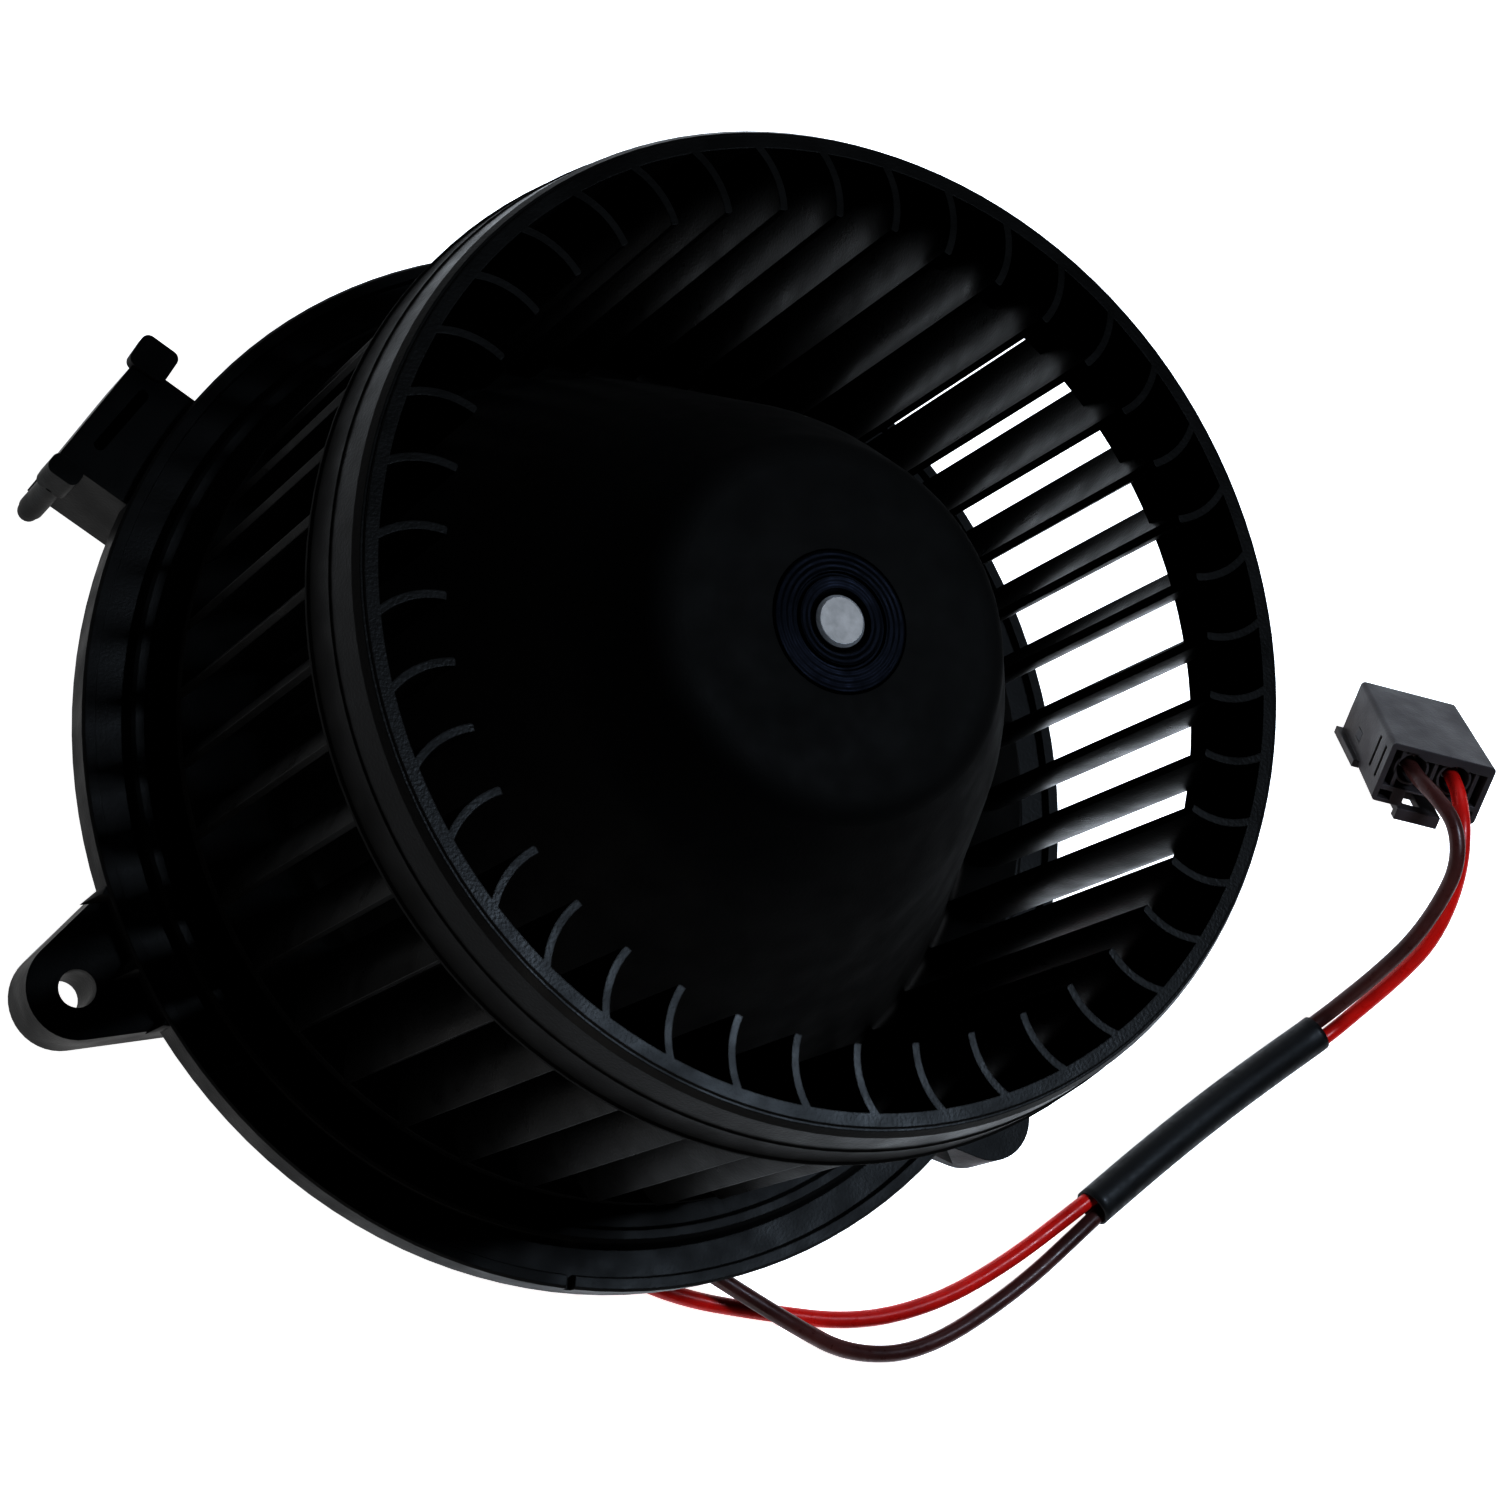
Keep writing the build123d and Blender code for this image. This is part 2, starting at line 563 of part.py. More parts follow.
with BuildPart() as mounting_flange:
    add(turned([
        (CUP_INNER_R, plate_under_z), (FLANGE_PLATE_R - 1.0, plate_under_z),
        (FLANGE_PLATE_R + 0.4, FLANGE_RIM_UNDER_Z),
        (FLANGE_R - FLANGE_SKIRT_T, FLANGE_RIM_UNDER_Z),
        (FLANGE_R - FLANGE_SKIRT_T, FLANGE_SKIRT_Z), (FLANGE_R, FLANGE_SKIRT_Z),
        (FLANGE_R, FLANGE_RIM_TOP_Z - 0.4), (FLANGE_R - 0.4, FLANGE_RIM_TOP_Z),
        (FLANGE_RIM_INNER_R, FLANGE_RIM_TOP_Z), (FLANGE_RIM_INNER_R - 0.3, GROOVE_TOP_Z),
        (FLANGE_PLATE_R + 1.6, GROOVE_TOP_Z), (FLANGE_PLATE_R + 0.6, FLANGE_PLATE_Z - 0.4),
        (FLANGE_PLATE_R, FLANGE_PLATE_Z), (78.6, FLANGE_PLATE_Z),
        (78.0, FLANGE_PLATE_Z - 0.8), (66.0, FLANGE_PLATE_Z - 0.8),
        (65.4, FLANGE_PLATE_Z), (cup_outer_r + 3.0, FLANGE_PLATE_Z),
        (cup_outer_r, FLANGE_PLATE_Z + 3.0), (cup_outer_r, CUP_TOP_Z), (CUP_INNER_R, CUP_TOP_Z),
    ]))
    # Three slots down the motor cup.
    for angle in (90, 210, 330):
        with BuildSketch(Plane.XZ.rotated((0, 0, angle))):
            with Locations((0, CUP_TOP_Z)):
                Rectangle(7.0, 18.0)
        extrude(amount=cup_outer_r + 2, mode=Mode.SUBTRACT)
    # Ribs under the plate.
    with BuildSketch(Plane.XY.offset(plate_under_z - UNDER_RIB_DEPTH)):
        with PolarLocations(67.5, UNDER_RIB_COUNT, start_angle=7.5):
            Rectangle(24.0, UNDER_RIB_T)
    extrude(amount=UNDER_RIB_DEPTH + 0.5)
    add(ring(77.6, 79.6, plate_under_z - UNDER_RIB_DEPTH, plate_under_z + 0.5))
    add(ring(55.0, 56.6, plate_under_z - UNDER_RIB_DEPTH, plate_under_z + 0.5))
    # Bosses for the cover screws.
    with BuildSketch(Plane.XY.offset(FLANGE_PLATE_Z - 0.5)):
        for angle in COVER_TAB_ANGLES:
            with PolarLocations(COVER_TAB_R, 1, start_angle=angle):
                Circle(4.2)
    extrude(amount=9.0)
    for hole_r, angle in EARS:
        add(Rot(Z=angle) * ear(hole_r))
    add(Rot(Z=BRACKET_ANGLE) * bracket())
    with BuildSketch(Plane.XY.offset(plate_under_z - 1)):
        for angle in COVER_TAB_ANGLES:
            with PolarLocations(COVER_TAB_R, 1, start_angle=angle):
                Circle(SCREW_R + 0.05)
    extrude(amount=10.0, mode=Mode.SUBTRACT)
    # Small notch through the rim, in line with the leads.
    with BuildSketch(Plane.XY.offset(GROOVE_TOP_Z)):
        with PolarLocations(FLANGE_R, 1, start_angle=RIM_NOTCH_ANGLE):
            Rectangle(5.0, 1.4)
    extrude(amount=3.0, mode=Mode.SUBTRACT)
save(mounting_flange, "mounting_flange")

for name, low, high in (("front_isolator", 64.0, 74.0), ("rear_isolator", 38.0, 48.0)):
    with BuildPart() as isolator:
        with BuildSketch(Plane.XY.offset(low)):
            Circle(CUP_INNER_R - 0.05)
            Circle(CAN_R + 0.05, mode=Mode.SUBTRACT)
            with PolarLocations(CUP_INNER_R, 12, start_angle=15):
                Rectangle(2.4, 4.0, mode=Mode.SUBTRACT)
        extrude(amount=high - low)
    save(isolator, name)

# ---- motor cover --------------------------------------------------------------------
grommet_z = 13.0
with BuildPart() as motor_cover:
    add(turned([
        (0, 0), (COVER_R - 3.0, 0), (COVER_R - 0.9, 0.9), (COVER_R, 3.0), (COVER_R, COVER_TOP_Z),
        (COVER_R - COVER_WALL, COVER_TOP_Z), (COVER_R - COVER_WALL, 3.2), (COVER_R - 3.2, 2.0),
        (0, 2.0),
    ]))
    with BuildSketch(Plane.XY.offset(COVER_TOP_Z - 3.0)):
        for angle in COVER_TAB_ANGLES:
            with PolarLocations(0, 1, start_angle=angle):
                with Locations((COVER_TAB_R, 0)):
                    Circle(5.6)
                with Locations(((COVER_R - 1 + COVER_TAB_R) / 2, 0)):
                    Rectangle(COVER_TAB_R - COVER_R + 1, 11.2)
        Circle(COVER_R - COVER_WALL, mode=Mode.SUBTRACT)
    extrude(amount=3.0)
    with BuildSketch(Plane.XY.offset(COVER_TOP_Z - 4.0)):
        for angle in COVER_TAB_ANGLES:
            with PolarLocations(COVER_TAB_R, 1, start_angle=angle):
                Circle(SCREW_R + 0.3)
    extrude(amount=5.0, mode=Mode.SUBTRACT)
    # Cooling vents in the rear face and a raised spigot ring between them and the centre.
    with BuildSketch():
        with PolarLocations(27.5, COVER_VENTS, start_angle=22.5):
            SlotCenterToCenter(11.0, 3.2)
    extrude(amount=2.5, mode=Mode.SUBTRACT)
    with BuildSketch(Plane.XY.offset(2.0)):
        Circle(18.0)
        Circle(16.6, mode=Mode.SUBTRACT)
    extrude(amount=1.6)
    # Wall ribs outside.
    with BuildSketch(Plane.XY.offset(4.0)):
        for angle in range(0, 360, 20):
            if angle not in (260, 280):
                with PolarLocations(COVER_R + 0.2, 1, start_angle=angle):
                    Rectangle(1.4, 1.6)
    extrude(amount=COVER_TOP_Z - 8.0)
    # Window for the lead grommet.
    with BuildSketch(Plane.XZ):
        with Locations((0, grommet_z)):
            RectangleRounded(11.2, 8.2, 1.5)
    extrude(amount=COVER_R + 4, mode=Mode.SUBTRACT)
save(motor_cover, "motor_cover")

with BuildPart() as cover_screws:
    with BuildSketch(Plane.XY.offset(COVER_TOP_Z - 3.1 - 2.6)):
        for angle in COVER_TAB_ANGLES:
            with PolarLocations(COVER_TAB_R, 1, start_angle=angle):
                Circle(SCREW_HEAD_R)
    extrude(amount=2.6)
    with BuildSketch(Plane.XY.offset(COVER_TOP_Z - 3.2)):
        for angle in COVER_TAB_ANGLES:
            with PolarLocations(COVER_TAB_R, 1, start_angle=angle):
                Circle(SCREW_R)
    extrude(amount=11.0)
    with BuildSketch(Plane.XY.offset(COVER_TOP_Z - 5.7)):
        for angle in COVER_TAB_ANGLES:
            with PolarLocations(COVER_TAB_R, 1, start_angle=angle):
                Rectangle(4.6, 1.0)
                Rectangle(1.0, 4.6)
    extrude(amount=1.4, mode=Mode.SUBTRACT)
save(cover_screws, "cover_screws")

with BuildPart() as lead_grommet:
    for width, height, radius, y_near, y_far in (
        (15.0, 11.6, 2.4, 42.3, 44.0), (10.8, 7.8, 1.4, 37.8, 42.4), (13.6, 10.2, 2.0, 36.0, 38.2),
        (10.2, 6.4, 2.6, 43.9, 46.0),
    ):
        with BuildSketch(Plane.XZ.offset(y_near)):
            with Locations((0, grommet_z)):
                RectangleRounded(width, height, radius)
        extrude(amount=y_far - y_near)
save(lead_grommet, "lead_grommet")

# ---- leads, sleeve and connector ------------------------------------------------------
for name, route, diameter, bore in (
    ("red_lead", RED_ROUTE, LEAD_D, 0.0),
    ("dark_lead", DARK_ROUTE, LEAD_D, 0.0),
    ("lead_sleeve", SLEEVE_ROUTE, SLEEVE_D, SLEEVE_BORE_D),
):
    with BuildPart() as cord:
        add(tube(route, diameter, bore))
    save(cord, name)

half_length = CONNECTOR_LENGTH / 2
half_width = CONNECTOR_WIDTH / 2
half_height = CONNECTOR_HEIGHT / 2
lead_face = connector_plane.offset(half_length)
mating_face = connector_plane.offset(-half_length)
CAVITIES = (
    (CAVITY_SHIFT + CAVITY_PITCH / 2, CAVITY_LIFT),
    (CAVITY_SHIFT - CAVITY_PITCH / 2, CAVITY_LIFT),
)
RECESS_DEPTH = 5.0
RECESS_X = (-9.6, 9.6)
RECESS_Y = (-2.6, 5.0)
THICK_LIP_X = -5.0
THICK_LIP_Y = 4.1
LATCH_HALF_WIDTH = 4.4
LATCH_Y = (-8.4, -7.0)
LATCH_WINDOW_X = (-2.8, 0.8)
LATCH_WINDOW_Z = (4.6, 10.7)
THUMB_RIDGE_Y = (-9.4, -8.3)
GRIP_SLOT_Z = (7.0, 11.5)
GRIP_SLOT_Y = (-2.5, 4.0)


def local_box(x_range, y_range, z_range):
    """A box given by its ranges across, up and along the connector."""
    with BuildPart() as body:
        with BuildSketch(connector_plane.offset(z_range[0])):
            with Locations((sum(x_range) / 2, sum(y_range) / 2)):
                Rectangle(x_range[1] - x_range[0], y_range[1] - y_range[0])
        extrude(amount=z_range[1] - z_range[0])
    return body.part


with BuildPart() as connector_housing:
    with BuildSketch(mating_face):
        RectangleRounded(CONNECTOR_WIDTH - 1.0, CONNECTOR_HEIGHT - 0.6, 0.9)
    with BuildSketch(lead_face):
        RectangleRounded(CONNECTOR_WIDTH, CONNECTOR_HEIGHT, 0.9)
    loft()
    # Recess behind the lead face, crossed by partitions and the two cavity collars.
    recess_floor = half_length - RECESS_DEPTH
    add(local_box(RECESS_X, RECESS_Y, (recess_floor, half_length)), mode=Mode.SUBTRACT)
    # The upper lip is thicker over most of its width, with a small step.
    lip_x = (THICK_LIP_X, RECESS_X[1] + 0.1)
    add(local_box(lip_x, (THICK_LIP_Y, RECESS_Y[1] + 0.1), (recess_floor - 0.1, half_length)))
    for wall_x in (-7.7, CAVITY_SHIFT, 7.7):
        wall_range = (wall_x - 0.4, wall_x + 0.4)
        add(local_box(wall_range, (-2.7, 5.1), (recess_floor, half_length - 0.3)))
    with BuildSketch(connector_plane.offset(recess_floor - 0.5)):
        with Locations(*CAVITIES):
            Circle(CAVITY_R + 0.5)
    extrude(amount=half_length - recess_floor)
    with BuildSketch(lead_face):
        with Locations(*CAVITIES):
            Circle(CAVITY_R)
    extrude(amount=-CAVITY_DEPTH, mode=Mode.SUBTRACT)
    # Terminal chambers and the slots in the mating face.
    with BuildSketch(connector_plane.offset(half_length - CAVITY_DEPTH + 0.5)):
        with Locations(*CAVITIES):
            Rectangle(6.8, 3.2)
    extrude(amount=-(CONNECTOR_LENGTH - CAVITY_DEPTH - 1.5), mode=Mode.SUBTRACT)
    with BuildSketch(mating_face):
        with Locations(*CAVITIES):
            Rectangle(6.6, 1.4)
    extrude(amount=3.0, mode=Mode.SUBTRACT)
    # Channel under the body for the latch arm, and the two corner pockets beside it.
    channel = local_box(
        (-4.6, 4.6), (-half_height - 0.5, -3.0), (-half_length - 1, half_length + 1)
    )
    add(channel, mode=Mode.SUBTRACT)
    for pocket_x in (-8.4, 8.4):
        pocket_range = (pocket_x - 1.3, pocket_x + 1.3)
        pocket = local_box(pocket_range, (-5.4, -3.6), (half_length - 3.0, half_length))
        add(pocket, mode=Mode.SUBTRACT)
    # Latch arm with its two feet at the mating end and a thumb ridge at the lead end.
    latch_x = (-LATCH_HALF_WIDTH, LATCH_HALF_WIDTH)
    add(local_box(latch_x, LATCH_Y, (-half_length, half_length - 1.0)))
    for side in (1, -1):
        foot_x = sorted((side * 3.6, side * 6.4))
        foot_y = (LATCH_Y[0] + 0.2, -half_height + 0.6)
        add(local_box(foot_x, foot_y, (-half_length, -half_length + 5.0)))
    add(local_box(latch_x, THUMB_RIDGE_Y, (half_length - 3.2, half_length - 1.0)))
    add(local_box((-2.6, 2.6), (LATCH_Y[1] - 0.1, -6.0), (-2.0, 1.2)))
    window = local_box(LATCH_WINDOW_X, (THUMB_RIDGE_Y[0] - 1, -6.5), LATCH_WINDOW_Z)
    add(window, mode=Mode.SUBTRACT)
    # Slot for the terminal lock, open at one side.
    lock_slot = local_box((-half_width - 1, half_width - 1.3), (-2.4, -0.3), (-6.1, -2.9))
    add(lock_slot, mode=Mode.SUBTRACT)
    # Side rails, and the paired grip slots near the lead end of each side.
    for side in (1, -1):
        rail_x = sorted((side * (half_width - 0.6), side * (half_width + 0.9)))
        add(local_box(rail_x, (-half_height + 0.2, -half_height + 1.6), (-half_length, 1.0)))
        slot_x = sorted((side * (half_width - 0.6), side * (half_width + 0.5)))
        for slot_z in GRIP_SLOT_Z:
            grip_slot = local_box(slot_x, GRIP_SLOT_Y, (slot_z - 0.5, slot_z + 0.5))
            add(grip_slot, mode=Mode.SUBTRACT)
save(connector_housing, "connector_housing")

BARREL_R = 1.9
BARREL_LENGTH = 3.7
with BuildPart() as lead_terminals:
    terminal_top = half_length - RECESS_DEPTH
    with BuildSketch(connector_plane.offset(terminal_top)):
        with Locations(*CAVITIES):
            Circle(BARREL_R)
    extrude(amount=-BARREL_LENGTH)
    with BuildSketch(connector_plane.offset(terminal_top - BARREL_LENGTH + 0.1)):
        with Locations(*CAVITIES):
            Rectangle(6.4, 2.7)
    extrude(amount=-14.0)
    with BuildSketch(connector_plane.offset(-half_length + 3.4)):
        with Locations(*CAVITIES):
            Rectangle(6.0, 0.9)
    extrude(amount=9.0, mode=Mode.SUBTRACT)
save(lead_terminals, "lead_terminals")

with BuildPart() as terminal_lock:
    # Slides in from one side, under both chambers.
    add(local_box((-half_width + 0.3, half_width - 1.4), (-2.3, -0.4), (-6.0, -3.0)))
save(terminal_lock, "terminal_lock")
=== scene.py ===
import math

import bpy
from mathutils import Matrix, Vector


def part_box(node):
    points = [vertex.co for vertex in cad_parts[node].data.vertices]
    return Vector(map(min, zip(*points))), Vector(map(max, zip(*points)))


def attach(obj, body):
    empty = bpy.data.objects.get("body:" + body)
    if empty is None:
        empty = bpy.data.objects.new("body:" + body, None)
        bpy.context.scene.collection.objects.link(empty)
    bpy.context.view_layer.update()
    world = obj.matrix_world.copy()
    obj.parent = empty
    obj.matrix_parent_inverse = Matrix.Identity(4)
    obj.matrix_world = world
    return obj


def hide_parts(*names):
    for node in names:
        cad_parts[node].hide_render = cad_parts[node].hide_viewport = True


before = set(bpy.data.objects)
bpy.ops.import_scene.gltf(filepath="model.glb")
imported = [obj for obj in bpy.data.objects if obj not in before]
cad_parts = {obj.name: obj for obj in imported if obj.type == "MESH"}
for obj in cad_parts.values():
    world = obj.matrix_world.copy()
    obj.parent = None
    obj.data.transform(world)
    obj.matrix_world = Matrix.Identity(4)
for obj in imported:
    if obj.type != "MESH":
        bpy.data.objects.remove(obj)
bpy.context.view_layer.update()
scene = bpy.context.scene

HOUSING = "housing"  # the body that stands still: the flange, the motor's shell and the leads


# ---- camera -----------------------------------------------------------------------
CAMERA_AT = Vector((-0.2242, -0.1483, 0.5399))
LOOK_BACK = Vector((-0.430, -0.261, 0.8646))  # from the object towards the camera
CAMERA_ROLL = math.radians(62.31)
LENS_MM = 82.68
SENSOR_MM = 36.0
NEAREST_SEEN = 0.01


def make_camera():
    camera = bpy.data.objects.new("camera", bpy.data.cameras.new("camera"))
    scene.collection.objects.link(camera)
    turn = (-LOOK_BACK).to_track_quat("-Z", "Y").to_matrix().to_4x4()
    roll = Matrix.Rotation(CAMERA_ROLL, 4, "Z")
    camera.matrix_world = Matrix.Translation(CAMERA_AT) @ turn @ roll
    camera.data.lens = LENS_MM
    camera.data.sensor_width = SENSOR_MM
    camera.data.clip_start = NEAREST_SEEN
    scene.camera = camera


# ---- leads ------------------------------------------------------------------------
LEAD_D = 0.0030
SLEEVE_D = 0.0072
SLEEVE_WALL = 0.0005
SLEEVE_END_INSET = 0.0022  # keeps the slanted end rings inside the CAD sleeve's box
SLEEVE_SIDES = 32
CURVE_ORDER = 3
CURVE_STEPS = 12
CURVE_ROUNDNESS = 6

RED_ROUTE = [
    (-0.0022, -0.0460, 0.0130), (-0.0022, -0.0560, 0.0130), (0.0020, -0.0675, 0.0086),
    (0.0125, -0.0786, 0.0032), (0.0280, -0.0846, 0.0016), (0.0460, -0.0866, 0.0016),
    (0.0640, -0.0876, 0.0016), (0.0800, -0.0836, 0.0016), (0.0950, -0.0756, 0.0019),
    (0.1097, -0.0647, 0.00365), (0.1243, -0.0540, 0.00487), (0.1395, -0.0444, 0.00537),
    (0.1535, -0.0364, 0.00487), (0.1658, -0.0290, 0.00365), (0.1708, -0.0237, 0.0084),
    (0.1745, -0.0188, 0.0149), (0.1780, -0.0132, 0.0211), (0.1793, -0.0064, 0.0266),
    (0.1780, 0.0000, 0.0324), (0.1775, 0.0064, 0.0344), (0.1778, 0.0113, 0.0338),
    (0.17955, 0.01672, 0.03054), (0.18139, 0.02105, 0.02592),
]
DARK_ROUTE = [
    (0.0022, -0.0460, 0.0130), (0.0022, -0.0560, 0.0130), (0.0095, -0.0660, 0.0098),
    (0.0215, -0.0746, 0.0070), (0.0355, -0.0820, 0.0066), (0.0490, -0.0888, 0.0064),
    (0.0625, -0.0934, 0.0026), (0.0780, -0.0920, 0.0016), (0.0970, -0.0804, 0.0019),
    (0.1117, -0.0675, 0.00365), (0.1257, -0.0560, 0.00243), (0.1395, -0.0444, 0.00193),
    (0.1521, -0.0344, 0.00243), (0.1638, -0.0262, 0.00365), (0.1676, -0.0216, 0.0105),
    (0.1704, -0.0173, 0.0174), (0.1729, -0.0127, 0.0238), (0.1748, -0.0067, 0.0297),
    (0.1753, -0.0006, 0.0351), (0.1744, 0.0069, 0.0365), (0.1720, 0.0128, 0.0339),
    (0.17099, 0.01804, 0.02894), (0.17294, 0.02264, 0.02404),
]


def lead_curve(name, route, diameter):
    """One open NURBS spline whose control points are the route."""
    data = bpy.data.curves.new(name, "CURVE")
    data.dimensions = "3D"
    spline = data.splines.new("NURBS")
    spline.points.add(len(route) - 1)
    for point, place in zip(spline.points, route):
        point.co = (*place, 1.0)
        point.radius = diameter / 2
    spline.order_u = CURVE_ORDER
    spline.use_endpoint_u = True
    data.resolution_u = CURVE_STEPS
    data.bevel_depth = 1.0  # so each point's own radius is the lead's radius
    data.bevel_resolution = CURVE_ROUNDNESS
    data.use_fill_caps = True
    curve = bpy.data.objects.new(name, data)
    scene.collection.objects.link(curve)
    return curve


def centreline(curve):
    """Points along a lead's own line, read from its spline with no thickness."""
    bare = curve.copy()
    bare.data = curve.data.copy()
    bare.data.bevel_depth = 0.0
    line = bpy.data.meshes.new_from_object(bare)
    points = [vertex.co.copy() for vertex in line.vertices]
    bpy.data.meshes.remove(line)
    bpy.data.curves.remove(bare.data)
    return points


def tube_mesh(name, line, outer, inner, sides):
    """A tube round a line, with an outer and an inner wall and a flat ring at each end."""
    vertices, faces = [], []
    side = Vector((0, 0, 1))
    for i, centre in enumerate(line):
        ahead = line[min(i + 1, len(line) - 1)] - line[max(i - 1, 0)]
        ahead.normalize()
        side = (side - side.dot(ahead) * ahead).normalized()
        across = ahead.cross(side)
        for radius in (outer, inner):
            for k in range(sides):
                turn = math.tau * k / sides
                outward = math.cos(turn) * side + math.sin(turn) * across
                vertices.append(centre + radius * outward)
    ring = 2 * sides
    last = ring * (len(line) - 1)
    for k in range(sides):
        n = (k + 1) % sides
        for base in range(0, last, ring):
            faces.append((base + k, base + n, base + ring + n, base + ring + k))
            low, high = base + sides, base + ring + sides
            faces.append((low + n, low + k, high + k, high + n))
        faces.append((n, k, sides + k, sides + n))
        faces.append((last + k, last + n, last + sides + n, last + sides + k))
    mesh = bpy.data.meshes.new(name)
    mesh.from_pydata(vertices, [], faces)
    mesh.shade_smooth()
    piece = bpy.data.objects.new(name, mesh)
    scene.collection.objects.link(piece)
    return piece


def make_leads():
    red = lead_curve("red_lead_run", RED_ROUTE, LEAD_D)
    dark = lead_curve("dark_lead_run", DARK_ROUTE, LEAD_D)
    # The sleeve follows the middle of the two leads where it covers them.
    low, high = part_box("lead_sleeve")
    start, end = low.x + SLEEVE_END_INSET, high.x - SLEEVE_END_INSET
    red_line = [point for point in centreline(red) if start <= point.x <= end]
    dark_line = centreline(dark)
    middle = []
    for point in red_line:
        nearest = min(dark_line, key=lambda other: (other - point).length)
        middle.append((point + nearest) / 2)
    outer = SLEEVE_D / 2
    sleeve = tube_mesh("lead_sleeve_tube", middle, outer, outer - SLEEVE_WALL, SLEEVE_SIDES)
    for piece in (red, dark, sleeve):
        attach(piece, HOUSING)
    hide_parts("red_lead")
    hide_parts("dark_lead")
    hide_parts("lead_sleeve")
    return red, dark, sleeve


# ---- materials ----------------------------------------------------------------------
# Noise stays mostly between these two, so most patterns are spread from there.
NOISE_LOW, NOISE_HIGH = 0.3, 0.7
# Blender's wave texture turns by this many radians a metre at a scale of 1.
WAVE_RATE = 20
EVEN = (1.0, 1.0, 1.0)
METAL_EDGE = 0.0002

# Distance from the shaft over which the wheel's texture changes: where the dome meets the
# blades, and where the front ring's edge meets the band round its outside.
DOME_EDGE = {"low": 0.059, "high": 0.0625}
BAND_EDGE = {"low": 0.0762, "high": 0.0770}
DOME_ROUGHER = 0.36
BAND_ROUGHER = 0.45

MOULDED = {
    "wheel_plastic": {"dark": (0.0026, 0.0025, 0.0024), "light": (0.0050, 0.0048, 0.0046),
                      "roughness": 0.32, "shine": 0.06},
    "flange_plastic": {"dark": (0.0050, 0.0050, 0.0052), "light": (0.0088, 0.0086, 0.0086),
                       "roughness": 0.42, "shine": 0.10},
    "cover_plastic": {"dark": (0.0060, 0.0060, 0.0062), "light": (0.0100, 0.0098, 0.0096),
                      "roughness": 0.48},
    "ferrite": {"dark": (0.022, 0.021, 0.021), "light": (0.045, 0.044, 0.043),
                "roughness": 0.62, "grain": 0.5},
    "brush_carbon": {"dark": (0.016, 0.016, 0.017), "light": (0.05, 0.05, 0.052),
                     "roughness": 0.5, "grain": 0.7},
    "board_phenolic": {"dark": (0.12, 0.055, 0.022), "light": (0.20, 0.10, 0.045),
                       "roughness": 0.55, "grain": 0.4},
    "washer_nylon": {"dark": (0.55, 0.52, 0.44), "light": (0.68, 0.65, 0.57), "roughness": 0.5},
    "capacitor_epoxy": {"dark": (0.48, 0.22, 0.03), "light": (0.62, 0.31, 0.05),
                        "roughness": 0.3, "grain": 0.1},
    "grommet_rubber": {"dark": (0.010, 0.010, 0.010), "light": (0.019, 0.018, 0.018),
                       "roughness": 0.75, "grain": 0.3},
    "connector_plastic": {"dark": (0.041, 0.035, 0.037), "light": (0.054, 0.046, 0.048),
                          "roughness": 0.46, "grain": 0.25, "edge": 0.00035, "shine": 0.25},
    "lock_plastic": {"dark": (0.040, 0.038, 0.044), "light": (0.056, 0.053, 0.060),
                     "roughness": 0.42},
}
METALS = {
    "hub_black_oxide": {"dark": (0.0014, 0.0017, 0.0028), "light": (0.0032, 0.0038, 0.0058),
                        "roughness": 0.42},
    "core_steel": {"dark": (0.10, 0.10, 0.105), "light": (0.26, 0.26, 0.27), "roughness": 0.45},
    "winding_copper": {"dark": (0.34, 0.10, 0.035), "light": (0.62, 0.24, 0.09),
                       "roughness": 0.32},
    "commutator_copper": {"dark": (0.42, 0.17, 0.08), "light": (0.72, 0.33, 0.17),
                          "roughness": 0.30},
    "can_zinc": {"dark": (0.33, 0.33, 0.32), "light": (0.56, 0.56, 0.55), "roughness": 0.38,
                 "stretch": (1.0, 1.0, 0.1)},
    "plate_zinc": {"dark": (0.32, 0.31, 0.27), "light": (0.55, 0.53, 0.46), "roughness": 0.40},
    "sintered_bronze": {"dark": (0.20, 0.13, 0.06), "light": (0.42, 0.30, 0.15),
                        "roughness": 0.55, "scale": 1500.0, "depth": 0.6},
    "spring_steel": {"dark": (0.30, 0.29, 0.28), "light": (0.55, 0.54, 0.52), "roughness": 0.30},
    "holder_brass": {"dark": (0.45, 0.31, 0.10), "light": (0.72, 0.54, 0.22), "roughness": 0.34},
    "choke_copper": {"dark": (0.34, 0.12, 0.05), "light": (0.66, 0.28, 0.12), "roughness": 0.3},
    "screw_zinc": {"dark": (0.42, 0.41, 0.36), "light": (0.66, 0.65, 0.60), "roughness": 0.33},
    "terminal_tin": {"dark": (0.46, 0.45, 0.43), "light": (0.72, 0.71, 0.69), "roughness": 0.28},
}
# Fine lines cut into a metal: rings about the shaft, or level lines up a stack.
TURNED = {
    "hub_black_oxide": {"pitch": 0.0009, "strength": 0.25, "distance": 0.0002},
    "commutator_copper": {"pitch": 0.0005, "strength": 0.3, "distance": 0.0001},
}
STACKED = {
    "core_steel": {"pitch": 0.0006, "strength": 0.8, "distance": 0.0002},
    "winding_copper": {"pitch": 0.0007, "strength": 0.9, "distance": 0.0003},
    "choke_copper": {"pitch": 0.0010, "strength": 0.6, "distance": 0.0002},
}
VINYL = {
    "red_insulation": {"dark": (0.40, 0.008, 0.006), "light": (0.62, 0.017, 0.011),
                       "roughness": 0.30},
    "dark_insulation": {"dark": (0.040, 0.011, 0.010), "light": (0.085, 0.026, 0.023),
                        "roughness": 0.32},
    "sleeve_vinyl": {"dark": (0.0036, 0.0040, 0.0048), "light": (0.0070, 0.0076, 0.0088),
                     "roughness": 0.46},
}
VINYL_SHINE = 0.3
SHAFT_STEEL = "shaft_steel"
